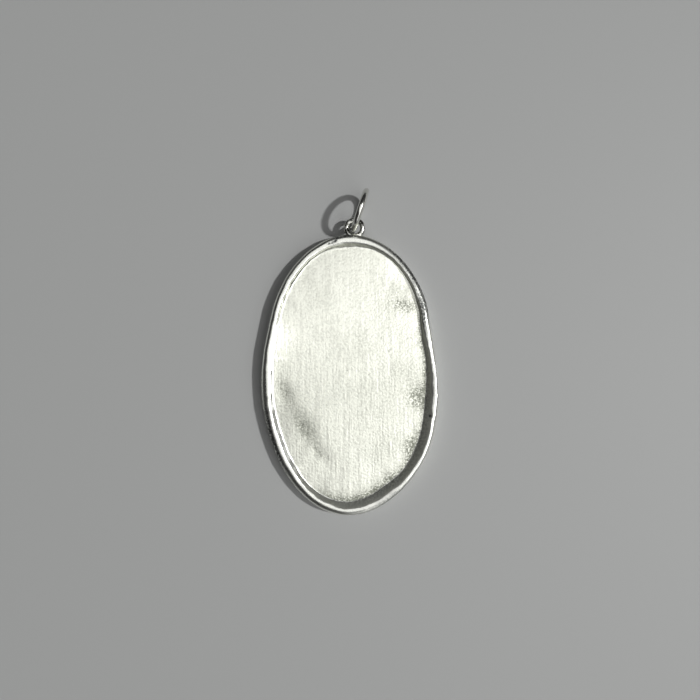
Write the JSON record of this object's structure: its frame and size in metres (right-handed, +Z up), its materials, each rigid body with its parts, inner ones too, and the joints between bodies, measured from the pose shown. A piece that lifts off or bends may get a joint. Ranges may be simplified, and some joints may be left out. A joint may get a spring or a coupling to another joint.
{
  "type": "oval charm pendant",
  "caption": "Handmade oval metal charm pendant: sunk brushed face, uneven raised rim, small loop soldered flat to the rim, and a jump ring through it.",
  "frame": {"origin": "centre of the plain oval on the flat back, which lies on the surface at z = 0", "axes": "+Z up out of the sunk face, +Y along the oval towards the soldered loop, +X to the right as the face is looked at"},
  "size_m": [0.0236, 0.0434, 0.006],
  "materials": {
    "brushed_silver": "brushed silver with polished rim",
    "polished_silver": "polished silver wire"
  },
  "bodies": {
    "root": {"pendant": "brushed_silver", "jump_ring": "polished_silver"}
  },
  "joints": []
}
